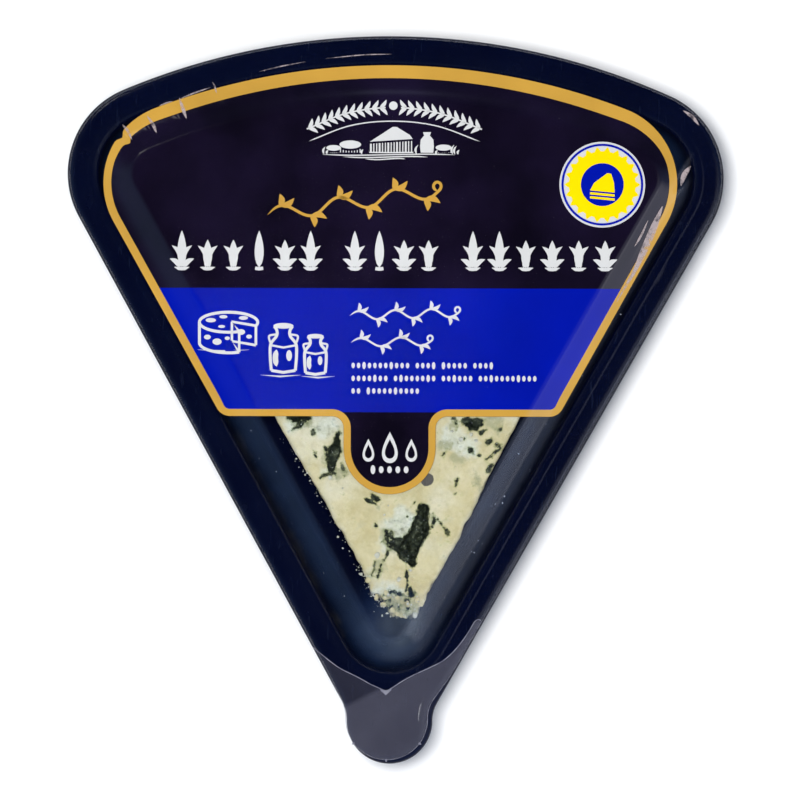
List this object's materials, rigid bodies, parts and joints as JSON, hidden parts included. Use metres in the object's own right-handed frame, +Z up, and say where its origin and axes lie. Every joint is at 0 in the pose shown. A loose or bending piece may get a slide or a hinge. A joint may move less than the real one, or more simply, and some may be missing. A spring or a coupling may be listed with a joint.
{
  "type": "blue cheese wedge in a sealed tray pack",
  "caption": "Wedge of blue-veined cheese in a deep wedge-shaped plastic tray with a flange, sealed under a clear film with a round peel tab and a printed label.",
  "frame": {"origin": "centre of the pack's bounding box in plan, on the plane the tray's foot ring rests on", "axes": "+Y from the peel tab towards the bowed back, +Z up out of the tray, +X to the right as the label is read with the tab towards the reader"},
  "size_m": [0.1148, 0.1274, 0.0221],
  "materials": {
    "cheese": "moist cut cheese, creamy with blue-green and near-black mould veins",
    "tray_plastic": "glossy thermoformed sheet, dark navy",
    "clear_film": "clear, glossy, taut film",
    "printed_label": "printed film label, glossy, dark and blue with a gold border"
  },
  "bodies": {
    "root": {"cheese_wedge": "cheese", "tray": "tray_plastic", "lidding_film": "clear_film", "label": "printed_label"}
  },
  "joints": []
}
